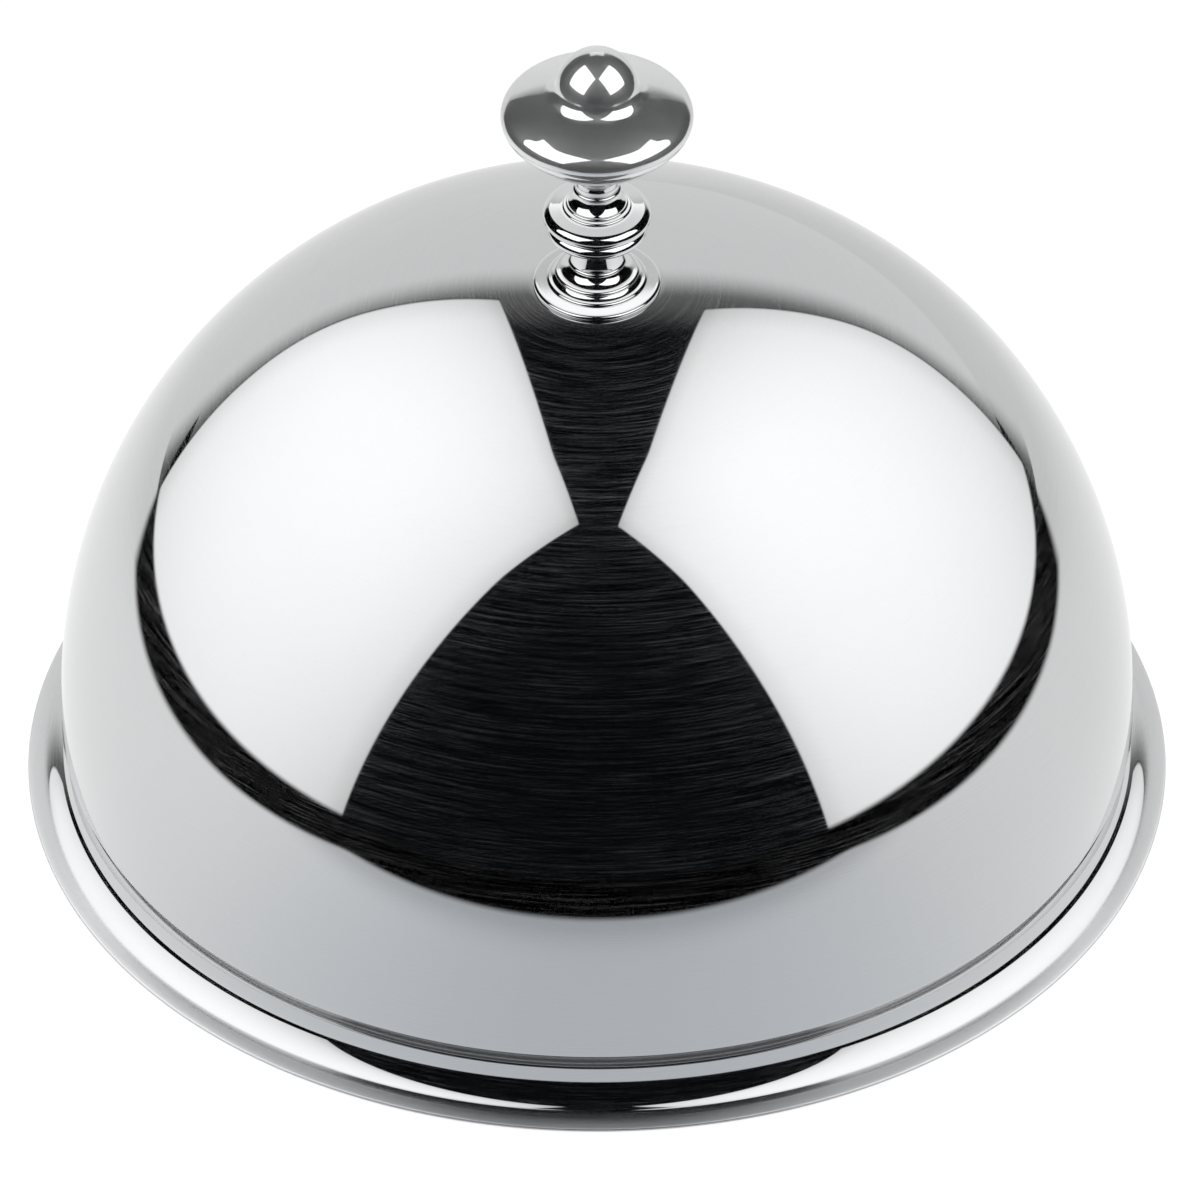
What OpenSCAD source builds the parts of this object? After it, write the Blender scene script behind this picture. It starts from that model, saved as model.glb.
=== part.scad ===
// Buffet food cover: a spun and polished dome with a waisted foot and a flat rim,
// and a turned handle clamped to its crown by a stud and a cap nut

/* [Rim and foot] */
// Outer radius of the rim flange
rim_r = 120; // [112:0.5:130]
// Width of the flat part of the rim flange
flange_w = 4.5; // [3.5:0.1:6]
// Thickness of the spun sheet
sheet_t = 0.8; // [0.6:0.05:1.2]
// Radius of the hollow where the flange turns up into the foot
cove_r = 6; // [5:0.1:6.4]
// Radius of the rounded foot of the wall
foot_r = 3.2; // [2.6:0.1:3.6]
// Height of the middle of the foot's rounding above the flange
foot_h = 14; // [13.2:0.1:16]
// Distance from the rim's edge in to the upright wall
wall_inset = 7.3; // [6.8:0.1:8.4]
// Height of the upright wall
wall_h = 4.5; // [3:0.1:8]

/* [Dome] */
// Distance from the axis to the middle of the side arc
side_off = 2.1; // [0.5:0.1:4]
// Radius of the haunch between the side arc and the crown
haunch_r = 95; // [85:0.5:98]
// Angle from the axis at which the side arc meets the haunch
side_a = 39; // [34:1:44]
// Angle from the axis at which the haunch meets the crown
haunch_a = 22; // [18:1:26]

/* [Rosette and gasket] */
// Outer radius of the rosette on the crown
rosette_r = 13.2; // [12.4:0.1:15]
// Thickness of the rosette
rosette_h = 1.1; // [0.9:0.1:1.6]
// Thickness of the gasket under the rosette
gasket_t = 0.4; // [0.3:0.05:0.6]
// Distance of the gasket's edge from the rosette's rounding
gasket_inset = 1.5; // [1:0.1:2.5]

/* [Pedestal] */
// Height of the pedestal
pedestal_h = 11.9; // [10.5:0.1:14]
// Outer radius of the ring at the pedestal's foot
foot_ring_r = 10.4; // [10:0.1:11.2]
// Outer radius of the ring on the pedestal's step
step_ring_r = 8.8; // [8.4:0.1:9.2]
// Height of the underside of the step's ring
step_ring_z = 1.7; // [1.4:0.1:2.2]
// Outer radius of the ring under the lower neck
neck_ring_r = 6; // [5.8:0.1:6.6]
// Height of the underside of the ring under the lower neck
neck_ring_z = 4.4; // [4:0.1:5.2]
// Thickness of each of the pedestal's rings
ring_h = 1; // [0.8:0.05:1.2]
// Radius of the lower neck at its ends
low_neck_r = 5.6; // [5.3:0.1:6]

/* [Collar] */
// Outer radius of the lower bead
low_bead_r = 10.3; // [9.8:0.1:11]
// Rounding radius of the lower bead
low_bead_round = 1.4; // [1.1:0.1:1.6]
// Outer radius of the upper bead
top_bead_r = 11.2; // [10.6:0.1:12.4]
// Rounding radius of the upper bead
top_bead_round = 1.6; // [1.2:0.1:1.9]
// Radius of the bottom of the groove between the beads
groove_r = 8.4; // [7.8:0.1:8.6]
// Height of the flat land beside each bead
bead_land = 0.2; // [0.15:0.05:0.4]

/* [Baluster] */
// Outer radius of the ring at the baluster's foot
bell_ring_r = 7.2; // [7:0.1:8]
// Thickness of each of the two rings at the baluster's foot
bell_ring_h = 0.75; // [0.6:0.05:0.9]
// How far the second ring steps in from the first
bell_step = 0.7; // [0.5:0.05:0.8]
// Radius of the flare where it leaves the rings
bell_r = 5.9; // [5.7:0.1:6.1]
// Height of the flare
bell_h = 3; // [2.5:0.1:4]
// Radius of the upper neck
neck_r = 4.4; // [4.2:0.1:5]
// Outer radius of the bead on the upper neck
neck_bead_r = 5; // [5:0.1:5.4]
// Thickness of the bead on the upper neck
neck_bead_h = 1; // [0.8:0.05:1.1]
// Height of the upper neck above its bead
upper_neck_h = 2.2; // [1.5:0.1:4]

/* [Knob] */
// Height of the knob
knob_h = 32; // [30.5:0.1:36]
// Outer radius of the knob's brim
knob_r = 20; // [18.5:0.1:22]
// Rounding radius of the brim's edge
edge_r = 2.2; // [1.8:0.1:2.6]
// Height of the brim's widest circle above the knob's foot
brim_z = 16.1; // [15.5:0.1:17]
// Radius of the knob's neck
knob_neck_r = 4.7; // [4.4:0.1:4.9]
// Height of the knob's neck below its rings
knob_neck_h = 1.4; // [1:0.1:2]
// Outer radius of the lower ring under the brim
low_ring_r = 5.7; // [5.5:0.1:6]
// Outer radius of the upper ring under the brim
top_ring_r = 6.7; // [6.4:0.1:7]
// Thickness of each of the rings under the brim
knob_ring_h = 1.2; // [1:0.05:1.4]
// Radius at which the brim meets the hollow around the crown
hollow_r = 12; // [11.6:0.1:12.6]
// Height at which the brim meets the hollow around the crown
hollow_z = 21.1; // [20.8:0.1:21.4]
// Radius at which the hollow meets the knob's crown
top_r = 8.4; // [8:0.1:8.8]
// Height at which the hollow meets the knob's crown
top_z = 25.2; // [24.9:0.1:25.6]
// Angle of the brim's edge at which its underside starts
edge_low_a = 38; // [34:1:42]
// Angle of the brim's edge at which its top starts
edge_top_a = 62; // [58:1:64]

/* [Fastening] */
// Radius of the tie stud
stud_r = 1.75; // [1.5:0.05:1.85]
// How far the stud reaches into the knob
knob_grip = 14; // [10:0.5:16]
// How far the stud reaches into the cap nut
nut_grip = 4.5; // [4:0.1:5]
// Radius of the backing washer inside the crown
washer_r = 12; // [10:0.1:12.2]
// Thickness of the backing washer
washer_t = 1.2; // [0.8:0.1:1.6]
// Outer radius of the spring lock washer
lock_r = 3.4; // [3.2:0.05:3.8]
// Thickness of the spring lock washer
lock_t = 0.9; // [0.8:0.05:1.2]
// Width of the slit in the spring lock washer
lock_slit = 0.8; // [0.5:0.05:1.2]
// Angle of the slit in the spring lock washer
lock_slit_a = 20; // [10:1:30]
// Width of the cap nut across its flats
nut_flats = 7; // [6.8:0.1:8]
// Height of the hexagon of the cap nut
nut_hex_h = 3.6; // [3.3:0.1:4.2]
// Radius of the cap of the nut
nut_cap_r = 3.15; // [3:0.05:3.3]
// Height of the cap's straight part
nut_cap_h = 1.2; // [1:0.1:2]

/* [Hidden] */
$fn = 180;
// Clearances of the stud in the bores, of the gasket in its recess and of the crown's seat round the rosette
stud_clear = 0.1;
thread_clear = 0.02;
gasket_clear = 0.1;
seat_clear = 0.2;
// Room left past each end of the stud, and the bevel of its ends, of the washer and of the nut
bore_spare = 0.5;
stud_bevel = 0.4;
washer_bevel = 0.25;
nut_bevel = 0.5;
// Overrun of every cut
overrun = 1;
// Largest distance between an arc and the points along it
arc_fine = 0.01;
// Angles of the hollows: where the cove's two arcs meet, the pedestal's hollows, the necks and the flare
cove_a = 25;
step_a = 50;
shelf_a = 70;
low_neck_a = 24;
flare_a = 60;
upper_neck_a = 16;
half_turn = 180;
quarter_turn = 90;
hex_sides = 6;

// Foot and cove of the shell: the upper cove arc touches both the lower one and the rounded foot
wall_r = rim_r - wall_inset;
cove_c = [rim_r - flange_w, sheet_t + cove_r];
foot_c = [wall_r - foot_r, sheet_t + foot_h];
cove_out = [cos(cove_a), sin(cove_a)];
cove_span = cove_c - foot_c;
cove_sum = cove_r + foot_r;
cove_more = (cove_span * cove_span - cove_sum * cove_sum) / (2 * (cove_sum - cove_span * cove_out));
high_r = cove_r + cove_more;
high_c = cove_c + cove_more * cove_out;
foot_a = atan2(high_c[1] - foot_c[1], high_c[0] - foot_c[0]);

// Arcs of the dome, each touching the next
side_r = wall_r - side_off;
side_c = [side_off, foot_c[1] + wall_h];
haunch_c = side_c + (side_r - haunch_r) * [sin(side_a), cos(side_a)];
crown_r = haunch_r + haunch_c[0] / sin(haunch_a);
crown_c = [0, haunch_c[1] + (haunch_r - crown_r) * cos(haunch_a)];
seat_r = rosette_r + seat_clear;
seat_z = crown_c[1] + sqrt(crown_r * crown_r - seat_r * seat_r);

// Heights of the pieces of the handle
low_collar_h = 2 * (low_bead_round + bead_land);
top_collar_h = 2 * (top_bead_round + bead_land);
baluster_h = 2 * bell_ring_h + bell_h + neck_bead_h + upper_neck_h;
pedestal_z = seat_z + rosette_h;
low_collar_z = pedestal_z + pedestal_h;
top_collar_z = low_collar_z + low_collar_h;
baluster_z = top_collar_z + top_collar_h;
knob_z = baluster_z + baluster_h;
washer_z = seat_z - sheet_t - washer_t;
lock_z = washer_z - lock_t;
bore_r = stud_r + stud_clear;
thread_r = stud_r + thread_clear;
gasket_r = rosette_r - rosette_h / 2 - gasket_inset;

// Angle above the horizontal of the outward side of the line from one point up to the next
function facing(low, high) = atan2(low[0] - high[0], high[1] - low[1]);
function flat(row) = [row[0], row[1]];

// Point on an arc at an angle above the horizontal
function on_arc(centre, radius, angle) = centre + radius * [cos(angle), sin(angle)];

function turned_by(v, angle) = [v[0] * cos(angle) - v[1] * sin(angle), v[0] * sin(angle) + v[1] * cos(angle)];

// Points along the arc from one point to the next, the last left out: it bulges to the right when turn is positive
function arc_points(from, to, turn) = turn == 0 ? [from] : let (
    step = to - from,
    arc_r = norm(step) / (2 * sin(turn / 2)),
    left = turned_by(step, quarter_turn) / norm(step),
    centre = (from + to) / 2 + left * arc_r * cos(turn / 2),
    count = ceil(abs(turn) / (2 * acos(1 - arc_fine / abs(arc_r))))
) [for (i = [0 : count - 1]) centre + turned_by(from - centre, turn * i / count)];

// Solid turned from rows of radius, height and turn of the edge to the next row, up the outside and down the inside
module turned(rows) {
    count = len(rows);
    rotate_extrude() polygon([for (i = [0 : count - 1])
        each arc_points(flat(rows[i]), flat(rows[(i + 1) % count]), rows[i][2])]);
}

// The same rows taken the other way
function flipped(rows) = [for (i = [len(rows) - 1 : -1 : 0])
    concat(flat(rows[i]), i > 0 ? -rows[i - 1][2] : 0)];

// Rows of one face of the sheet from the flange up to the crown's seat, set in from the outer face
function sheet_rows(inset, top_z) = let (
    in_r = crown_r - inset,
    in_a = acos((top_z - crown_c[1]) / in_r)
) [
    [cove_c[0], sheet_t - inset, cove_a - quarter_turn],
    concat(cove_c - (cove_r + inset) * cove_out, foot_a - cove_a),
    concat(on_arc(foot_c, foot_r - inset, foot_a), -foot_a),
    [wall_r - inset, foot_c[1], 0],
    [wall_r - inset, side_c[1], quarter_turn - side_a],
    concat(on_arc(side_c, side_r - inset, quarter_turn - side_a), side_a - haunch_a),
    concat(on_arc(crown_c, in_r, quarter_turn - haunch_a), haunch_a - in_a),
    concat(on_arc(crown_c, in_r, quarter_turn - in_a), 0)
];

module dome_shell() {
    edge_c = rim_r - sheet_t / 2;
    under_z = seat_z - sheet_t;
    color("silver") turned(concat([[edge_c, 0, half_turn], [edge_c, sheet_t, 0]], sheet_rows(0, seat_z),
        [[bore_r, seat_z, 0], [bore_r, under_z, 0]], flipped(sheet_rows(sheet_t, under_z))));
}

module crown_gasket() {
    color("dimgray") translate([0, 0, seat_z])
        turned([[gasket_r, 0, 0], [gasket_r, gasket_t, 0], [bore_r, gasket_t, 0], [bore_r, 0, 0]]);
}

module base_rosette() {
    round_r = rosette_r - rosette_h / 2;
    recess_r = gasket_r + gasket_clear;
    color("silver") translate([0, 0, seat_z])
        turned([[round_r, 0, half_turn], [round_r, rosette_h, 0], [bore_r, rosette_h, 0],
            [bore_r, gasket_t, 0], [recess_r, gasket_t, 0], [recess_r, 0, 0]]);
}

module pedestal() {
    foot_in = foot_ring_r - ring_h / 2;
    step_in = step_ring_r - ring_h / 2;
    neck_in = neck_ring_r - ring_h / 2;
    color("silver") translate([0, 0, pedestal_z])
        turned([[foot_in, 0, half_turn], [foot_in, ring_h, 0],
            [foot_in - ring_h / 2, ring_h, -step_a], [step_in, step_ring_z, half_turn],
            [step_in, step_ring_z + ring_h, 0],
            [step_in - ring_h / 2, step_ring_z + ring_h, -shelf_a], [neck_in, neck_ring_z, half_turn],
            [neck_in, neck_ring_z + ring_h, 0],
            [low_neck_r, neck_ring_z + ring_h, -low_neck_a], [low_neck_r, pedestal_h, 0],
            [bore_r, pedestal_h, 0], [bore_r, 0, 0]]);
}

module lower_collar() {
    bead_in = low_bead_r - low_bead_round;
    top_z = low_collar_h - bead_land;
    color("silver") translate([0, 0, low_collar_z])
        turned([[bead_in, 0, 0], [bead_in, bead_land, half_turn], [bead_in, top_z, 0], [groove_r, top_z, 0],
            [groove_r, low_collar_h, 0], [bore_r, low_collar_h, 0], [bore_r, 0, 0]]);
}

module upper_collar() {
    bead_in = top_bead_r - top_bead_round;
    top_z = top_collar_h - bead_land;
    color("silver") translate([0, 0, top_collar_z])
        turned([[groove_r, 0, 0], [groove_r, bead_land, 0], [bead_in, bead_land, half_turn], [bead_in, top_z, 0],
            [bell_ring_r + bead_land, top_collar_h, 0], [bore_r, top_collar_h, 0], [bore_r, 0, 0]]);
}

module baluster() {
    first_in = bell_ring_r - bell_ring_h / 2;
    second_in = first_in - bell_step;
    bead_in = neck_bead_r - neck_bead_h / 2;
    rings_z = 2 * bell_ring_h;
    bead_z = rings_z + bell_h;
    color("silver") translate([0, 0, baluster_z])
        turned([[first_in, 0, half_turn], [first_in, bell_ring_h, 0],
            [second_in, bell_ring_h, half_turn], [second_in, rings_z, 0],
            [bell_r, rings_z, -flare_a], [neck_r, bead_z, 0],
            [bead_in, bead_z, half_turn], [bead_in, bead_z + neck_bead_h, 0],
            [neck_r, bead_z + neck_bead_h, -upper_neck_a], [neck_r, baluster_h, 0],
            [bore_r, baluster_h, 0], [bore_r, 0, 0]]);
}

module knob() {
    edge_c = knob_r - edge_r;
    low_in = low_ring_r - knob_ring_h / 2;
    top_in = top_ring_r - knob_ring_h / 2;
    rings_z = knob_neck_h + 2 * knob_ring_h;
    under = [top_in, rings_z];
    edge_low = [edge_c + edge_r * cos(edge_low_a), brim_z - edge_r * sin(edge_low_a)];
    edge_top = [edge_c + edge_r * cos(edge_top_a), brim_z + edge_r * sin(edge_top_a)];
    hollow = [hollow_r, hollow_z];
    top = [top_r, top_z];
    under_turn = 2 * (-edge_low_a - facing(under, edge_low));
    brim_turn = 2 * (facing(edge_top, hollow) - edge_top_a);
    hollow_turn = 2 * (facing(hollow, top) - edge_top_a - brim_turn);
    crown_turn = 2 * atan2(knob_h - top_z, top_r);
    depth = knob_grip + bore_spare;
    color("silver") translate([0, 0, knob_z])
        turned([[knob_neck_r, 0, 0], [knob_neck_r, knob_neck_h, 0],
            [low_in, knob_neck_h, half_turn], [low_in, knob_neck_h + knob_ring_h, 0],
            [top_in, knob_neck_h + knob_ring_h, half_turn], concat(under, under_turn),
            concat(edge_low, edge_low_a + edge_top_a), concat(edge_top, brim_turn),
            concat(hollow, hollow_turn), concat(top, crown_turn), [0, knob_h, 0],
            [0, depth, 0], [thread_r, depth, 0], [thread_r, 0, 0]]);
}

module tie_stud() {
    low_z = lock_z - nut_grip;
    length = knob_z + knob_grip - low_z;
    end_r = stud_r - stud_bevel;
    color("lightgray") translate([0, 0, low_z])
        turned([[end_r, 0, 0], [stud_r, stud_bevel, 0], [stud_r, length - stud_bevel, 0], [end_r, length, 0],
            [0, length, 0], [0, 0, 0]]);
}

module backing_washer() {
    color("lightgray") translate([0, 0, washer_z])
        turned([[washer_r - washer_bevel, 0, 0], [washer_r, washer_bevel, 0], [washer_r, washer_t, 0],
            [bore_r, washer_t, 0], [bore_r, 0, 0]]);
}

module lock_washer() {
    color("gray") translate([0, 0, lock_z]) difference() {
        turned([[lock_r, 0, 0], [lock_r, lock_t, 0], [bore_r, lock_t, 0], [bore_r, 0, 0]]);
        translate([0, 0, lock_t / 2]) rotate([lock_slit_a, 0, 0])
            translate([0, -lock_slit / 2, -lock_t]) cube([lock_r + overrun, lock_slit, 2 * lock_t]);
    }
}

module cap_nut() {
    corner_r = nut_flats / (2 * cos(half_turn / hex_sides));
    flat_r = nut_flats / 2;
    cap_z = nut_hex_h + nut_cap_h;
    depth = nut_grip + bore_spare;
    color("lightgray") translate([0, 0, lock_z]) mirror([0, 0, 1]) difference() {
        union() {
            intersection() {
                cylinder(r = corner_r, h = nut_hex_h, $fn = hex_sides);
                turned([[flat_r, 0, 0], [corner_r, nut_bevel, 0], [corner_r, nut_hex_h - nut_bevel, 0],
                    [flat_r, nut_hex_h, 0], [0, nut_hex_h, 0], [0, 0, 0]]);
            }
            turned([[nut_cap_r, 0, 0], [nut_cap_r, cap_z, quarter_turn], [0, cap_z + nut_cap_r, 0], [0, 0, 0]]);
        }
        translate([0, 0, -overrun]) cylinder(r = thread_r, h = depth + overrun);
    }
}

dome_shell();
crown_gasket();
base_rosette();
pedestal();
lower_collar();
upper_collar();
baluster();
knob();
tie_stud();
backing_washer();
lock_washer();
cap_nut();
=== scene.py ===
# Buffet food cover: a spun, mirror-polished dome with a turned handle on its crown.
import math
import bpy
import numpy as np
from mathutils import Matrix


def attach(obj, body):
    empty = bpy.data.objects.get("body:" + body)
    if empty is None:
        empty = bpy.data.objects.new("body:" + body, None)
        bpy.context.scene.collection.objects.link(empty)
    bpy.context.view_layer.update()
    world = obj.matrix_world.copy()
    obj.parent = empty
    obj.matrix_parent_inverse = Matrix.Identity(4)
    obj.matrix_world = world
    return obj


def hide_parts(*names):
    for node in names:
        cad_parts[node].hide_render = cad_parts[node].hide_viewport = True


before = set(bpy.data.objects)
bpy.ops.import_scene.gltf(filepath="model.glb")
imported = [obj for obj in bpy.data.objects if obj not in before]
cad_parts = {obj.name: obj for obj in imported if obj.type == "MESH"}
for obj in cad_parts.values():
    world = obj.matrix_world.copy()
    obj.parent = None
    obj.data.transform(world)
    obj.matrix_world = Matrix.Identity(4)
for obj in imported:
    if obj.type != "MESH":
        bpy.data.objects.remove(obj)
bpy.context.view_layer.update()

scene = bpy.context.scene
mm = 0.001  # sizes below are in millimetres, meshes in metres
fineStep = 0.02  # millimetres between a profile's points before they are thinned out
bellReach = 4  # blur widths that the easing of a corner looks at on each side
white = (1, 1, 1, 1)
print("frame loaded:", len(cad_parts), "nodes")


# profiles and meshes
def arcRun(start, end, turn):
    # along the chord R sin(a), off the chord R (cos(a) - cos(half)): the circle through both ends
    # that turns by turn degrees, bowed to the right of the way when positive, straight when zero
    chord = end - start
    length = math.hypot(*chord)
    half = math.radians(abs(turn)) / 2
    if half == 0:
        count = max(1, math.ceil(length / fineStep))
        return start + np.outer(np.arange(count) / count, chord)
    radius = length / (2 * math.sin(half))
    count = max(2, math.ceil(2 * half * radius / fineStep))
    a = half * (2 * np.arange(count) / count - 1)
    way = chord / length
    aside = np.array([way[1], -way[0]]) * math.copysign(1, turn)
    return (start + end) / 2 + radius * (np.outer(np.sin(a), way)
                                         + np.outer(np.cos(a) - math.cos(half), aside))


def profileOf(rows, shut):
    # rows hold radius, height and the turn of the run to the next row
    rows = np.array(rows, float)
    runs = [arcRun(a[:2], b[:2], a[2]) for a, b in zip(rows, np.roll(rows, -1, axis=0))]
    return np.concatenate(runs + [rows[:1, :2]] if shut else runs[:-1] + [rows[-1:, :2]])


def settled(line, shut, cut, thinFrom=None, thinShare=1.0):
    # even steps along the profile, a bell-shaped blur that eases every corner, then points spaced
    # by length (one per reach) plus turning (one per bend degrees), never closer than least
    length = np.r_[0, np.cumsum(np.hypot(*np.diff(line, axis=0).T))]
    even = np.linspace(0, length[-1], int(length[-1] / fineStep) + 1)
    r, z = np.interp(even, length, line[:, 0]), np.interp(even, length, line[:, 1])
    gap = even[1]
    pad = math.ceil(bellReach * cut["edge"] / gap)
    if shut:
        r = np.r_[r[-pad - 1:-1], r, r[1:pad + 1]]
        z = np.r_[z[-pad - 1:-1], z, z[1:pad + 1]]
    else:  # both ends are on the axis, so the profile carries on mirrored
        r = np.r_[-r[pad:0:-1], r, -r[-2:-pad - 2:-1]]
        z = np.r_[z[pad:0:-1], z, z[-2:-pad - 2:-1]]
    bell = np.exp(-0.5 * (np.arange(-pad, pad + 1) * gap / cut["edge"]) ** 2)
    r, z = (np.convolve(v, bell / bell.sum(), "valid") for v in (r, z))
    lean = np.unwrap(np.arctan2(np.gradient(z), np.gradient(r)))
    rate = 1 / cut["reach"] + np.abs(np.gradient(lean)) / gap / math.radians(cut["bend"])
    rate = np.minimum(rate, 1 / cut["least"])
    if thinFrom is not None:
        rate = np.where(even > thinFrom, rate * thinShare, rate)
    tally = np.r_[0, np.cumsum((rate[1:] + rate[:-1]) / 2 * gap)]
    at = np.interp(np.linspace(0, tally[-1], math.ceil(tally[-1]) + 1), tally, even)
    at = at[:-1] if shut else at
    return np.column_stack([np.interp(at, even, r), np.interp(at, even, z)]), at


def newMesh(name, points, faces, marks, finish):
    # points in millimetres, marks are numbers per point that the finishes read
    mesh = bpy.data.meshes.new(name)
    mesh.from_pydata((points * mm).tolist(), [], faces)
    mesh.polygons.foreach_set("use_smooth", np.ones(len(faces), bool))
    for key, values in marks.items():
        mesh.attributes.new(key, "FLOAT", "POINT").data.foreach_set("value", values.astype(np.float32))
    mesh.update()
    mesh.materials.append(finish)
    made = bpy.data.objects.new(name, mesh)
    scene.collection.objects.link(made)
    return made


def carriedRound(line, sides):
    # x = r cos(a), y = r sin(a), z = z: a profile carried round the axis
    a = np.arange(sides) * 2 * math.pi / sides
    r, z = line[:, :1], line[:, 1:]
    return np.stack([r * np.cos(a), r * np.sin(a), z + 0 * a], axis=-1)


def roundFaces(rings, sides, shut):
    # four-sided faces between neighbouring rings, and fans at the two poles of an open profile
    index = np.arange(rings * sides).reshape(rings, sides)
    beside = np.roll(index, -1, axis=1)
    if shut:
        quads = np.stack([index, beside, np.roll(beside, -1, axis=0), np.roll(index, -1, axis=0)], axis=-1)
        return quads.reshape(-1, 4).tolist()
    quads = np.stack([index[:-1], beside[:-1], beside[1:], index[1:]], axis=-1).reshape(-1, 4)
    low, high = rings * sides, rings * sides + 1
    fans = np.concatenate([np.stack([np.full(sides, low), beside[0], index[0]], axis=-1),
                           np.stack([index[-1], beside[-1], np.full(sides, high)], axis=-1)])
    return quads.tolist() + fans.tolist()


def turnedPiece(name, cut, finish, squeeze=None):
    # a closed loop of rows, or rows from axis to axis, turned at the piece's own height
    shut = cut.get("shut", True)
    line, at = settled(profileOf(cut["rows"], shut), shut, cut)
    line[:, 1] += cut["base"]
    body = line if shut else line[1:-1]
    grid = carriedRound(body, cut["sides"])
    if squeeze is not None:
        grid = squeeze(grid)
    points, sweep = grid.reshape(-1, 3), np.repeat(at if shut else at[1:-1], cut["sides"])
    if not shut:
        points = np.vstack([points, [[0, 0, line[0, 1]], [0, 0, line[-1, 1]]]])
        sweep = np.r_[sweep, at[0], at[-1]]
    faces = roundFaces(len(body), cut["sides"], shut)
    return newMesh(name, points, faces, {"sweep": sweep * mm}, finish)


def dressed(piece, node):
    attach(piece, "root")
    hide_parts(node)
    print(piece.name, "stands for", node, "with", len(piece.data.polygons), "faces")


# finishes
class Wire:
    # a node socket that does sums: every operator adds one Math node
    def __init__(self, tree, socket=None):
        self.tree = tree
        self.socket = socket

    def node(self, kind, settings=None, sockets=None, out=0):
        made = self.tree.nodes.new(kind)
        for key, value in (settings or {}).items():
            setattr(made, key, value)
        for key, value in (sockets or {}).items():
            if isinstance(value, Wire):
                self.tree.links.new(value.socket, made.inputs[key])
            else:
                made.inputs[key].default_value = value
        return Wire(self.tree, made.outputs[out] if len(made.outputs) else None)

    def sums(self, operation, first, second):
        return self.node("ShaderNodeMath", {"operation": operation}, {0: first, 1: second})

    def __add__(self, other):
        return self.sums("ADD", self, other)

    def __radd__(self, other):
        return self.sums("ADD", other, self)

    def __sub__(self, other):
        return self.sums("SUBTRACT", self, other)

    def __rsub__(self, other):
        return self.sums("SUBTRACT", other, self)

    def __mul__(self, other):
        return self.sums("MULTIPLY", self, other)

    def __rmul__(self, other):
        return self.sums("MULTIPLY", other, self)

    def __truediv__(self, other):
        return self.sums("DIVIDE", self, other)

    def __rtruediv__(self, other):
        return self.sums("DIVIDE", other, self)

    def __pow__(self, other):
        return self.sums("POWER", self, other)

    def __rpow__(self, other):
        return self.sums("POWER", other, self)

    def __abs__(self):
        return self.sums("ABSOLUTE", self, 0.0)

    def aboveZero(self):  # the value where it is positive, 0 elsewhere
        return self.sums("MAXIMUM", self, 0.0)

    def eased(self, low, high):  # 0 below low, 1 above high, smooth between
        return self.node("ShaderNodeMapRange", {"interpolation_type": "SMOOTHSTEP"},
                         {"Value": self, "From Min": low, "From Max": high, "To Min": 0.0, "To Max": 1.0})

    def axes(self):
        split = self.node("ShaderNodeSeparateXYZ", sockets={0: self}).socket.node
        return [Wire(self.tree, s) for s in split.outputs]

    def between(self, dark, light):  # self blends two colours
        return self.node("ShaderNodeMix", {"data_type": "RGBA"}, {0: self, 6: dark, 7: light}, out=2)


def newFinish(name):
    finish = bpy.data.materials.new(name)
    finish.use_nodes = True
    finish.node_tree.nodes.clear()
    return finish, Wire(finish.node_tree)


def shown(bench, surface):
    bench.node("ShaderNodeOutputMaterial", sockets={"Surface": surface})


def placeOf(bench):
    return bench.node("ShaderNodeTexCoord", out="Object")


def markOf(bench, name):  # a number that newMesh kept on every point
    return bench.node("ShaderNodeAttribute", {"attribute_name": name}, out="Fac")


def noiseOf(bench, vector, scale, grain):
    detail, rough = grain
    return bench.node("ShaderNodeTexNoise", {"noise_dimensions": "3D"},
                      {"Vector": vector, "Scale": scale, "Detail": detail, "Roughness": rough}, out="Fac")


# what all the steel shares: detail and roughness of each noise, and where its tones begin and end
steelGrain = {
    "hairs": (3.0, 0.6), "rings": (2.0, 0.5), "clouds": (4.0, 0.55), "haze": (1.0, 0.5),
    "wiped": (0.45, 0.75), "tone": (0.3, 0.7), "hairTone": 0.5,
}


def linedNoise(bench, place, along, across, grain):
    # long thin lines round the axis: noise that runs slowly in x and y and fast along the profile
    x, y = place.axes()[:2]
    sweep = markOf(bench, "sweep")
    drawn = bench.node("ShaderNodeCombineXYZ", sockets={"X": x * along, "Y": y * along, "Z": sweep * across})
    return noiseOf(bench, drawn, 1.0, grain)


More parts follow.
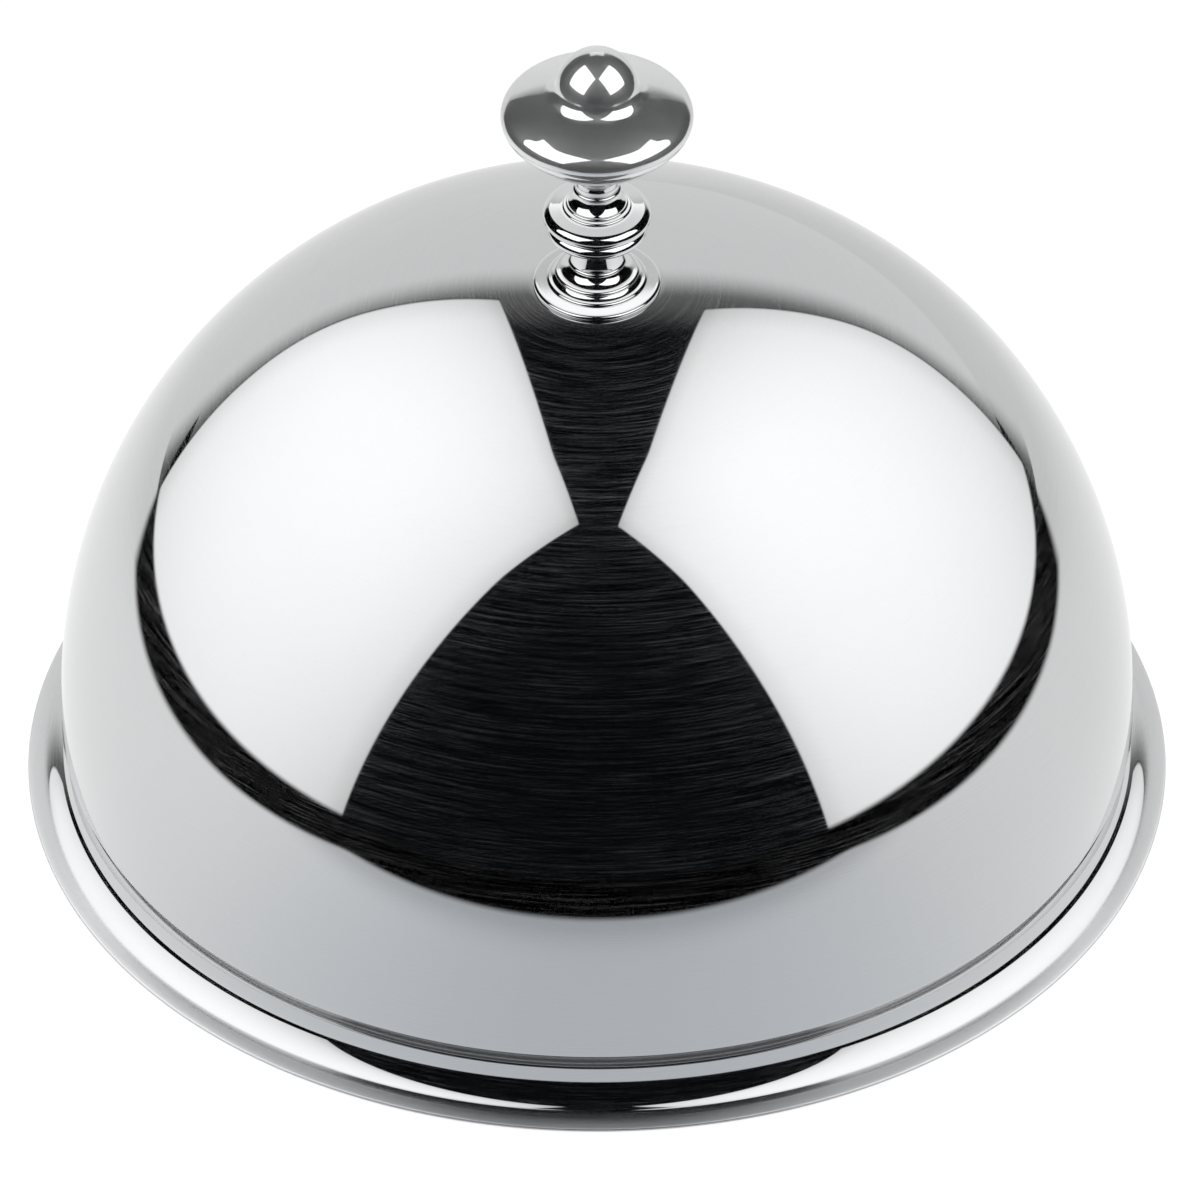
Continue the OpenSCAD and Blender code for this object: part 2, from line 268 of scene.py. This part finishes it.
def polishedFinish(name, look):
    finish, bench = newFinish(name)
    place = placeOf(bench)
    hairs = linedNoise(bench, place, look["perMetre"], look["linesPerMetre"], steelGrain["hairs"])
    rings = linedNoise(bench, place, look["ringDrift"], look["ringsPerMetre"], steelGrain["rings"])
    cloud = noiseOf(bench, place, look["cloudScale"], steelGrain["clouds"])
    scratch = hairs.eased(look["scratchFrom"], look["scratchFull"])
    wiped = cloud.eased(*steelGrain["wiped"])
    rough = look["rough"] + scratch * look["scratchRough"] + wiped * look["wipedRough"]
    if "haze" in look:  # a fine buffing grain: part of the surface scatters, the rest stays a mirror
        haze = look["haze"]
        grain = noiseOf(bench, place, haze["scale"], steelGrain["haze"]) + hairs * haze["lines"]
        rough = rough + grain.eased(haze["from"], haze["full"]) * haze["rough"]
    hairTone = steelGrain["hairTone"]
    tone = (hairs * hairTone + cloud * (1 - hairTone)).eased(*steelGrain["tone"])
    colour = tone.between(look["dark"], look["light"])
    if "inside" in look:  # the inner face is only brushed
        inner = markOf(bench, "inside")
        satin = look["inside"]
        rough = rough + inner * (satin["rough"] + hairs * satin["hairRough"])
        colour = inner.between(colour, satin["colour"])
    if "rim" in look:  # the turned rim is duller and paler than the dome
        rim = markOf(bench, "rim")
        rough = rough + rim * look["rim"]["rough"]
        colour = rim.between(colour, look["rim"]["colour"])
    bump = bench.node("ShaderNodeBump", sockets={"Strength": look["bump"], "Distance": look["bumpDepth"],
                                                 "Height": hairs * look["hairBump"] + rings})
    shown(bench, bench.node("ShaderNodeBsdfPrincipled", sockets={
        "Base Color": colour, "Metallic": 1.0, "Roughness": rough, "Normal": bump}))
    return finish


domeLook = {
    "perMetre": 60.0, "linesPerMetre": 4400.0, "ringsPerMetre": 260.0, "ringDrift": 6.0, "cloudScale": 28.0,
    "scratchFrom": 0.52, "scratchFull": 0.78, "rough": 0.025, "scratchRough": 0.03, "wipedRough": 0.01,
    "dark": (0.622, 0.626, 0.632, 1), "light": (0.638, 0.642, 0.648, 1),
    "bump": 0.03, "bumpDepth": 0.000006, "hairBump": 0.12,
    "haze": {"scale": 40000.0, "lines": 0.42, "from": 0.895, "full": 0.935, "rough": 0.45},
    "inside": {"rough": 0.16, "hairRough": 0.12, "colour": (0.56, 0.565, 0.575, 1)},
    "rim": {"rough": 0.40, "colour": (0.72, 0.724, 0.73, 1)},
}
domeSteel = polishedFinish("polished_dome_steel", domeLook)

handleLook = {
    "perMetre": 60.0, "linesPerMetre": 5200.0, "ringsPerMetre": 700.0, "ringDrift": 6.0, "cloudScale": 120.0,
    "scratchFrom": 0.62, "scratchFull": 0.82, "rough": 0.035, "scratchRough": 0.16, "wipedRough": 0.02,
    "dark": (0.71, 0.715, 0.72, 1), "light": (0.74, 0.745, 0.75, 1),
    "bump": 0.03, "bumpDepth": 0.000004, "hairBump": 0.2,
    "haze": {"scale": 40000.0, "lines": 0.0, "from": 0.66, "full": 0.70, "rough": 0.42},
}
handleSteel = polishedFinish("polished_handle_steel", handleLook)

knobLook = dict(handleLook, dark=(0.83, 0.835, 0.84, 1), light=(0.86, 0.865, 0.87, 1),
                scratchFrom=0.70, scratchFull=0.90,
                haze={"scale": 40000.0, "lines": 0.0, "from": 0.52, "full": 0.56, "rough": 0.5})
knobSteel = polishedFinish("buffed_knob_steel", knobLook)

hardwareLook = {
    "perMetre": 300.0, "linesPerMetre": 9000.0, "ringsPerMetre": 2500.0, "ringDrift": 6.0,
    "cloudScale": 240.0,
    "scratchFrom": 0.45, "scratchFull": 0.75, "rough": 0.24, "scratchRough": 0.18, "wipedRough": 0.10,
    "dark": (0.50, 0.505, 0.51, 1), "light": (0.58, 0.585, 0.59, 1),
    "bump": 0.25, "bumpDepth": 0.00002, "hairBump": 0.35,
}
plainSteel = polishedFinish("plain_hardware_steel", hardwareLook)


def rubberFinish(name, look):
    finish, bench = newFinish(name)
    grain = noiseOf(bench, placeOf(bench), look["grainScale"], look["grain"])
    colour = grain.eased(*look["tone"]).between(look["dark"], look["light"])
    bump = bench.node("ShaderNodeBump", sockets={"Strength": look["bump"], "Distance": look["bumpDepth"],
                                                 "Height": grain})
    shown(bench, bench.node("ShaderNodeBsdfPrincipled", sockets={
        "Base Color": colour, "Roughness": look["rough"] + grain * look["grainRough"], "Normal": bump}))
    return finish


sealLook = {
    "grainScale": 2400.0, "grain": (4.0, 0.6), "tone": (0.3, 0.7), "rough": 0.55, "grainRough": 0.15,
    "dark": (0.022, 0.022, 0.024, 1), "light": (0.045, 0.045, 0.048, 1), "bump": 0.3, "bumpDepth": 0.00003,
}
sealRubber = rubberFinish("seal_rubber", sealLook)
print("finishes made")


# the dome: rim bead, flange, cove, foot, side, haunch and crown, then back down the inside
domeSheet = {
    "outside": [[119.6, 0, 180], [119.6, 0.8, 0], [116.85, 0.97, -61.5], [111.14, 4.85, -22],
                [110.21, 8.58, -31], [110.56, 10.14, 0], [112.7, 14.17, 0], [112.7, 19.3, 51],
                [71.703, 105.252, 17], [47.505, 119.506, 15.93], [13.4, 128.03, 0], [1.85, 128.03, 0]],
    "inner": [[1.85, 127.23, 0], [13.358, 127.23, -15.93], [47.205, 118.764, -17], [71.199, 104.631, -51],
              [111.9, 19.3, 0], [111.9, 14.37, 0], [109.85, 10.52, 31],
              [109.41, 8.54, 22], [110.42, 4.51, 61.5], [116.8, 0.17, 0]],
    "edge": 0.07, "reach": 1.9, "bend": 4.5, "least": 0.14, "sides": 300, "innerShare": 0.5, "innerFrom": 0.3,
    # the duller rim: radii where the flange fades in, heights where the foot fades in and out
    "flangeFrom": (115.6, 117.4), "flangeBelow": 2, "footFrom": (9.2, 10.2), "footTo": (14.2, 14.6),
    "footShare": 0.55,
}


def ramp(values, low, high):
    return np.clip((values - low) / (high - low), 0, 1)


def rimShare(line, cut):
    # 1 on the flange, less on the foot under the wall, 0 in the cove between them and on the dome
    r, z = line.T
    flange = ramp(r, *cut["flangeFrom"]) * (z < cut["flangeBelow"])
    foot = ramp(z, *cut["footFrom"]) * (1 - ramp(z, *cut["footTo"]))
    return np.maximum(flange, foot * cut["footShare"])


def spunDome(name, cut, finish):
    # the outside and inner rows as one closed loop, with fewer points on the inner face
    outsideLength = np.hypot(*np.diff(profileOf(cut["outside"], False), axis=0).T).sum()
    loop = profileOf(cut["outside"] + cut["inner"], True)
    line, at = settled(loop, True, cut, outsideLength, cut["innerShare"])
    grid = carriedRound(line, cut["sides"])
    inside = (at > outsideLength + cut["innerFrom"]).astype(float)
    marks = {"sweep": at * mm, "inside": inside, "rim": rimShare(line, cut)}
    marks = {key: np.repeat(values, cut["sides"]) for key, values in marks.items()}
    return newMesh(name, grid.reshape(-1, 3), roundFaces(len(line), cut["sides"], True), marks, finish)


dressed(spunDome("spun_dome", domeSheet, domeSteel), "dome_shell")


# the handle, from the crown up
rosette = {
    "base": 128.03, "rows": [[1.85, 0.4, 0], [11.25, 0.4, 0], [11.25, 0, 0], [12.65, 0, 180],
                             [12.65, 1.1, 0], [1.85, 1.1, 0]],
    "edge": 0.05, "reach": 0.6, "bend": 6, "least": 0.06, "sides": 192,
}
dressed(turnedPiece("handle_rosette", rosette, handleSteel), "base_rosette")

pedestal = {
    "base": 129.13, "rows": [[1.85, 0, 0], [9.9, 0, 180], [9.9, 1, 0], [9.4, 1, -50], [8.3, 1.7, 180],
                             [8.3, 2.7, 0], [7.8, 2.7, -70], [5.5, 4.4, 180], [5.5, 5.4, 0], [5.6, 5.4, -24],
                             [5.6, 11.9, 0], [1.85, 11.9, 0]],
    "edge": 0.05, "reach": 0.4, "bend": 5, "least": 0.05, "sides": 176,
}
dressed(turnedPiece("handle_pedestal", pedestal, handleSteel), "pedestal")

lowerCollar = {
    "base": 141.03, "rows": [[1.85, 0, 0], [8.9, 0, 0], [8.9, 0.2, 180], [8.9, 3, 0], [8.4, 3, 0],
                             [8.4, 3.2, 0], [1.85, 3.2, 0]],
    "edge": 0.05, "reach": 0.4, "bend": 5, "least": 0.05, "sides": 192,
}
dressed(turnedPiece("handle_lower_collar", lowerCollar, handleSteel), "lower_collar")

upperCollar = {
    "base": 144.23, "rows": [[1.85, 0, 0], [8.4, 0, 0], [8.4, 0.2, 0], [9.6, 0.2, 180], [9.6, 3.4, 0],
                             [7.4, 3.6, 0], [1.85, 3.6, 0]],
    "edge": 0.05, "reach": 0.4, "bend": 5, "least": 0.05, "sides": 192,
}
dressed(turnedPiece("handle_upper_collar", upperCollar, handleSteel), "upper_collar")

baluster = {
    "base": 147.83, "rows": [[1.85, 0, 0], [6.825, 0, 180], [6.825, 0.75, 0], [6.125, 0.75, 180],
                             [6.125, 1.5, 0], [5.9, 1.5, -60], [4.4, 4.5, 0], [4.5, 4.5, 180], [4.5, 5.5, 0],
                             [4.4, 5.5, -16], [4.4, 7.7, 0], [1.85, 7.7, 0]],
    "edge": 0.05, "reach": 0.35, "bend": 5, "least": 0.05, "sides": 160,
}
dressed(turnedPiece("handle_baluster", baluster, handleSteel), "baluster")

knob = {
    "base": 155.53, "shut": False,
    "rows": [[0, 14.5, 0], [1.77, 14.5, 0], [1.77, 0, 0], [4.7, 0, 0], [4.7, 1.4, 0], [5.1, 1.4, 180],
             [5.1, 2.6, 0], [6.1, 2.6, 180], [6.1, 3.8, 29], [19.04, 13.68, 100], [17.89, 19.08, 14],
             [10.9, 21.6, -68], [8.5, 24.28, 80], [0, 32, 0]],
    "edge": 0.06, "reach": 0.5, "bend": 3.5, "least": 0.07, "sides": 224,
}
dressed(turnedPiece("handle_knob", knob, knobSteel), "knob")
handlePieces = ["handle_rosette", "handle_pedestal", "handle_lower_collar", "handle_upper_collar",
                "handle_baluster", "handle_knob"]


# what holds the handle inside the crown
backingWasher = {
    "base": 126.03, "rows": [[1.85, 0, 0], [11.75, 0, 0], [12, 0.25, 0], [12, 1.2, 0], [1.85, 1.2, 0]],
    "edge": 0.05, "reach": 0.9, "bend": 8, "least": 0.07, "sides": 144,
}
dressed(turnedPiece("crown_backing_washer", backingWasher, plainSteel), "backing_washer")

capNut = {
    "base": 117.18, "shut": False, "flats": 7.0,
    "rows": [[0, 0, 90], [3.15, 3.15, 0], [3.15, 4.35, 0], [3.5, 4.35, 0], [4.04, 4.85, 0], [4.04, 7.45, 0],
             [3.5, 7.95, 0], [1.77, 7.95, 0], [1.77, 2.95, 0], [0, 2.95, 0]],
    "edge": 0.05, "reach": 0.4, "bend": 8, "least": 0.07, "sides": 180,
}


def hexSides(grid):
    # radius held to (flats / 2) / cos(angle from the nearest flat's middle): a hexagon cut on the turned nut
    x, y = grid[..., 0], grid[..., 1]
    fromFlat = np.mod(np.arctan2(y, x), math.pi / 3) - math.pi / 6
    limit = capNut["flats"] / 2 / np.cos(fromFlat)
    share = limit / np.maximum(np.hypot(x, y), limit)
    return grid * np.stack([share, share, np.ones_like(share)], axis=-1)


dressed(turnedPiece("crown_cap_nut", capNut, plainSteel, hexSides), "cap_nut")

lockWasher = {"base": 125.13, "inner": 1.85, "outer": 3.4, "thick": 0.9, "slit": 0.8, "lean": 20.0,
              "corners": 0.18, "sides": 28, "steps": 140}


def splitRing(name, cut, finish):
    # a small rounded rectangle carried round the axis from one side of the slit to the other;
    # the slit leans, so the angle where the ring starts and ends shifts with height
    middle, wide = (cut["inner"] + cut["outer"]) / 2, (cut["outer"] - cut["inner"]) / 2
    tall, half = cut["thick"] / 2, cut["slit"] / 2
    t = np.arange(cut["sides"]) * 2 * math.pi / cut["sides"]
    r = middle + wide * np.sign(np.cos(t)) * np.abs(np.cos(t)) ** cut["corners"]
    z = tall + tall * np.sign(np.sin(t)) * np.abs(np.sin(t)) ** cut["corners"]
    shift = (z - tall) * math.tan(math.radians(cut["lean"]))
    start, end = (half - shift) / r, 2 * math.pi - (half + shift) / r
    a = start + np.linspace(0, 1, cut["steps"])[:, None] * (end - start)
    points = np.stack([r * np.cos(a), r * np.sin(a), cut["base"] + z + 0 * a], axis=-1)
    index = np.arange(a.size).reshape(a.shape)
    beside = np.roll(index, -1, axis=1)
    quads = np.stack([index[:-1], index[1:], beside[1:], beside[:-1]], axis=-1).reshape(-1, 4)
    ends = [index[0].tolist(), index[-1][::-1].tolist()]
    sweep = np.broadcast_to(np.hypot(r, z), a.shape).ravel() * mm
    return newMesh(name, points.reshape(-1, 3), quads.tolist() + ends, {"sweep": sweep}, finish)


dressed(splitRing("crown_lock_washer", lockWasher, plainSteel), "lock_washer")

tieStud = {"low": 120.63, "high": 169.53, "radius": 1.75, "bevel": 0.4, "pitch": 0.7, "depth": 0.22,
           "sides": 36, "rings": 560}


def threadedStud(name, cut, finish):
    # radius less depth times (1 + cos(turns - angle)) / 2, where turns runs once per pitch of height: a
    # rolled thread that winds up the rod, cut down to the bevel near both ends
    z = np.linspace(cut["low"], cut["high"], cut["rings"])[:, None]
    a = np.arange(cut["sides"]) * 2 * math.pi / cut["sides"]
    wave = (1 + np.cos(2 * math.pi * z / cut["pitch"] - a)) / 2
    fromEnd = np.minimum(z - cut["low"], cut["high"] - z)
    r = np.minimum(cut["radius"] - cut["depth"] * wave, cut["radius"] - cut["bevel"] + fromEnd)
    points = np.stack([r * np.cos(a), r * np.sin(a), z + 0 * a], axis=-1).reshape(-1, 3)
    points = np.vstack([points, [[0, 0, cut["low"]], [0, 0, cut["high"]]]])
    sweep = np.r_[np.repeat(z.ravel(), cut["sides"]), cut["low"], cut["high"]] * mm
    return newMesh(name, points, roundFaces(cut["rings"], cut["sides"], False), {"sweep": sweep}, finish)


dressed(threadedStud("handle_tie_stud", tieStud, plainSteel), "tie_stud")

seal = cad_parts["crown_gasket"].data.materials
seal.clear()
seal.append(sealRubber)
for name in handlePieces[1:] + ["handle_tie_stud"]:
    bpy.data.objects[name].visible_glossy = False  # kept out of the dome's reflections
print("hidden fastening finished")


# the studio: pale table, white behind, two soft boxes, dark cloth in front and above
def glowing(bench, colour, strength):
    return bench.node("ShaderNodeEmission", sockets={"Color": colour, "Strength": strength})


def mixed(bench, share, first, second):
    return bench.node("ShaderNodeMixShader", sockets={0: share, 1: first, 2: second})


softBoxes = {
    # corners: low front, low back, high back, high front
    "corners": {"soft_box_left": [(-376, -336, 53), (-320, 198, 48), (-140, 424, 497), (-52, -222, 950)],
                "soft_box_right": [(349, -371, 50), (330, 231, 57), (171, 447, 549), (63, -235, 975)]},
    "brightest": {"soft_box_left": (0.57, 0.45), "soft_box_right": (0.48, 0.45)},  # shares across and up
    "steps": 25, "level": 1.55, "fall": 0.8, "edge": 0.012, "skirt": 0.11, "skirtLoss": 0.12,
}


def softBoxFinish(name, brightest):
    # falls off with the square of the distance from the brightest place, less light in a skirt along
    # the top and both sides, and a thin soft edge all round
    finish, bench = newFinish(name)
    across, up = markOf(bench, "across"), markOf(bench, "up")
    a, b = across - brightest[0], up - brightest[1]
    light = 1 - softBoxes["fall"] * (a * a + b * b)
    fromSide, fromEnd = 0.5 - abs(across - 0.5), 0.5 - abs(up - 0.5)
    for inward in (fromSide, fromEnd):
        light = light * inward.eased(0.0, softBoxes["edge"])
    for inward in (fromSide, 1 - up):
        light = light * (1 - softBoxes["skirtLoss"] * (1 - inward.eased(0.0, softBoxes["skirt"])))
    shown(bench, glowing(bench, white, light * softBoxes["level"]))
    return finish


def softBox(name):
    # a sheet between four corners: bilinear in the two shares across and up
    low0, low1, high1, high0 = (np.array(p, float) for p in softBoxes["corners"][name])
    count = softBoxes["steps"]
    share = np.linspace(0, 1, count)
    u, v = (g.ravel() for g in np.meshgrid(share, share, indexing="ij"))
    points = (np.outer((1 - u) * (1 - v), low0) + np.outer(u * (1 - v), low1)
              + np.outer(u * v, high1) + np.outer((1 - u) * v, high0))
    index = np.arange(count * count).reshape(count, count)
    faces = np.stack([index[:-1, :-1], index[1:, :-1], index[1:, 1:], index[:-1, 1:]], axis=-1).reshape(-1, 4)
    finish = softBoxFinish(name + "_glow", softBoxes["brightest"][name])
    sheet = newMesh(name, points, faces.tolist(), {"across": u, "up": v}, finish)
    sheet.visible_camera = False


for name in softBoxes["corners"]:
    softBox(name)

handleLight = {
    "aimHeight": 168,
    "lamps": {
        "handle_lamp_left": {"from": 200, "around": -62, "rise": 42, "wide": 210, "tall": 215, "level": 1.7},
        "handle_lamp_right": {"from": 200, "around": 62, "rise": 42, "wide": 210, "tall": 215, "level": 1.7},
        "handle_lamp_back": {"from": 300, "around": 180, "rise": 42, "wide": 150, "tall": 95, "level": 0.75}},
}


def handleLamps():
    # three closer soft lamps light the handle alone, and the large boxes leave it out
    own, rest = (bpy.data.collections.new(n) for n in ("handle_only", "all_but_handle"))
    for name in handlePieces:
        own.objects.link(bpy.data.objects[name])
        rest.objects.link(bpy.data.objects[name])
    for member in rest.collection_objects:
        member.light_linking.link_state = "EXCLUDE"
    for name in softBoxes["corners"]:
        bpy.data.objects[name].light_linking.receiver_collection = rest
    for name, lamp in handleLight["lamps"].items():
        wide, tall = lamp["wide"] * mm, lamp["tall"] * mm
        shine = bpy.data.lights.new(name, "AREA")
        shine.shape = "RECTANGLE"
        shine.size = wide
        shine.size_y = tall
        shine.energy = lamp["level"] * math.pi * wide * tall
        made = bpy.data.objects.new(name, shine)
        scene.collection.objects.link(made)
        around, rise = math.radians(lamp["around"]), math.radians(lamp["rise"])
        level = math.cos(rise)
        toward = np.array([math.sin(around) * level, -math.cos(around) * level, math.sin(rise)])
        made.location = (np.array([0, 0, handleLight["aimHeight"]]) + lamp["from"] * toward) * mm
        made.rotation_euler = (math.pi / 2 - rise, 0, around)
        made.light_linking.receiver_collection = own


handleLamps()

# dark cloth all round, with an opening behind the object: an arch with a soft edge and a faint tail
cloth = {
    "half": 1900, "front": -2600, "floor": -900, "high": 2600, "backAt": 450, "backStep": 1,
    "tone": (0.003, 0.0035, 0.0045, 1), "openHalf": 485, "openHigh": 505, "openPower": 1.5, "openLevel": 0.85,
    "openLight": 0.8, "openDark": 1.2, "tailLight": 1.0, "tailDark": 1.9, "tailShare": 0.2,
}


def clothFinish(name):
    # far = |x / half| ^ power + |z / high| ^ power, which is 1 along the arch
    finish, bench = newFinish(name)
    x, y, z = placeOf(bench).axes()
    power, tail = cloth["openPower"], cloth["tailShare"]
    far = (abs(x) / (cloth["openHalf"] * mm)) ** power + (abs(z) / (cloth["openHigh"] * mm)) ** power
    opening = (1 - far.eased(cloth["openLight"], cloth["openDark"])) * (1 - tail)
    opening = opening + (1 - far.eased(cloth["tailLight"], cloth["tailDark"])) * tail
    back, step = cloth["backAt"] * mm, cloth["backStep"] * mm
    opening = opening * cloth["openLevel"] * y.eased(back - 2 * step, back - step)  # in the back wall alone
    gauze = bench.node("ShaderNodeBsdfTransparent", sockets={"Color": white})
    shown(bench, mixed(bench, opening, glowing(bench, cloth["tone"], 1.0), gauze))
    return finish


def clothRoom(name, finish):
    # the eight corners of the studio's dark cloth and its six sides
    low = (-cloth["half"], cloth["front"], cloth["floor"])
    high = (cloth["half"], cloth["backAt"], cloth["high"])
    corners = np.stack(np.meshgrid(*zip(low, high), indexing="ij"), axis=-1).reshape(-1, 3)
    sides = [[0, 1, 3, 2], [4, 6, 7, 5], [0, 4, 5, 1], [2, 3, 7, 6], [0, 2, 6, 4], [1, 5, 7, 3]]
    room = newMesh(name, corners, sides, {}, finish)
    room.data.polygons.foreach_set("use_smooth", np.zeros(len(sides), bool))
    room.visible_camera = False
    room.visible_shadow = False


clothRoom("studio_cloth", clothFinish("dark_cloth"))

table = {
    "reach": 2500, "height": -0.3, "half": 400, "soft": 30, "flareFrom": 200, "flare": 0.8,
    # painted shade: how much the table's glow in the metal darkens and turns blue in front of the dome
    "front": -375, "frontSoft": 30, "level": 1.02, "shade": 0.35, "shadeTint": (0.955, 1, 1.05, 1),
    # where each painted falloff of the table's glow in the metal starts and ends, and the share of light that
    # it takes
    "frontFade": (200, 340, 0.24), "backFade": (60, 320, 0.18), "rightFade": (0, 220, 0.07),
    "paperTone": (0.30, 0.30, 0.30, 1), "paperGlow": 0.86, "paperFade": (250, 700),
}


def tableFinish(name):
    # white to the eye with a faint shadow; in the metal a pale table that glows with painted light: painted
    # shade and a bluish tint in front of the dome, painted falloff to the front, back and right, and a dark
    # front edge
    finish, bench = newFinish(name)
    x, y = placeOf(bench).axes()[:2]
    seen, shiny = (bench.node("ShaderNodeLightPath", out=n) for n in ("Is Camera Ray", "Is Glossy Ray"))
    back, step = cloth["backAt"] * mm, cloth["backStep"] * mm
    dim = 1 + y.eased(back, back + step) * (1 / cloth["openLevel"] - 1)  # makes up for the gauze before it
    # painted light: the table's glow in the metal falls off toward the front, back and right
    for run, fade in ((0 - y, "frontFade"), (y, "backFade"), (x, "rightFade")):
        start, end, loss = table[fade]
        dim = dim * (1 - loss * run.eased(start * mm, end * mm))
    half = (y - table["flareFrom"] * mm).aboveZero() * table["flare"] + table["half"] * mm
    soft, frontSoft = table["soft"] * mm, table["frontSoft"] * mm
    top = (half - abs(x)).eased(-soft, soft) * (y - table["front"] * mm).eased(-frontSoft, frontSoft) * dim
    away = (x * x + y * y) ** 0.5
    ahead = ((0 - y) / away).aboveZero()  # 1 straight in front of the dome, 0 at its sides
    # painted shade: the table's glow in the metal is darker and bluer straight in front of the dome
    shade = ahead * ahead
    # the table in the metal is a glow with painted light, standing in for lit paper
    paintedTableGlow = glowing(bench, shade.between(white, table["shadeTint"]),
                      top * (table["level"] - table["shade"] * shade))
    lit = bench.node("ShaderNodeBsdfDiffuse", sockets={"Color": table["paperTone"]})
    paper = bench.node("ShaderNodeAddShader", sockets={0: lit, 1: glowing(bench, white, table["paperGlow"])})
    paperFrom, paperTo = table["paperFade"]
    paper = mixed(bench, away.eased(paperFrom * mm, paperTo * mm), paper, glowing(bench, white, 1.0))
    both = mixed(bench, shiny, paper, paintedTableGlow)
    below = bench.node("ShaderNodeNewGeometry", out="Backfacing")
    shown(bench, mixed(bench, below * seen, both, bench.node("ShaderNodeBsdfTransparent")))
    return finish


def flatTable(name, finish):
    # one wide sheet just under the rim
    far, z = table["reach"], table["height"]
    corners = np.array([(-far, -far, z), (far, -far, z), (far, far, z), (-far, far, z)])
    newMesh(name, corners, [[0, 1, 2, 3]], {}, finish)


flatTable("studio_table", tableFinish("table_paper"))

world = bpy.data.worlds.new("white_behind")
scene.world = world
world.use_nodes = True
world.node_tree.nodes.clear()
sky = Wire(world.node_tree)
eye, metal, glass = (sky.node("ShaderNodeLightPath", out=n)
                     for n in ("Is Camera Ray", "Is Glossy Ray", "Is Transmission Ray"))
behind = sky.node("ShaderNodeBackground", sockets={"Color": white, "Strength": eye + metal + glass})
sky.node("ShaderNodeOutputWorld", sockets={"Surface": behind})
scene.view_settings.view_transform = "Standard"
print("studio set")


# the camera: long lens, from the front and 39 degrees up, with its distances in metres
view = {"distance": 3.6, "elevation": 39.33, "aimHeight": 0.04326, "lens": 515.67, "sensor": 36,
        "shiftX": 0.0025, "clipEnd": 100}
camera = bpy.data.objects.new("front_camera", bpy.data.cameras.new("front_camera"))
scene.collection.objects.link(camera)
rise = math.radians(view["elevation"])
back, up = view["distance"] * math.cos(rise), view["distance"] * math.sin(rise)
camera.location = (0, -back, view["aimHeight"] + up)
camera.rotation_euler = (math.pi / 2 - rise, 0, 0)
camera.data.sensor_width = view["sensor"]
camera.data.lens = view["lens"]
camera.data.shift_x = view["shiftX"]
camera.data.clip_end = view["clipEnd"]
scene.camera = camera
print("camera placed")
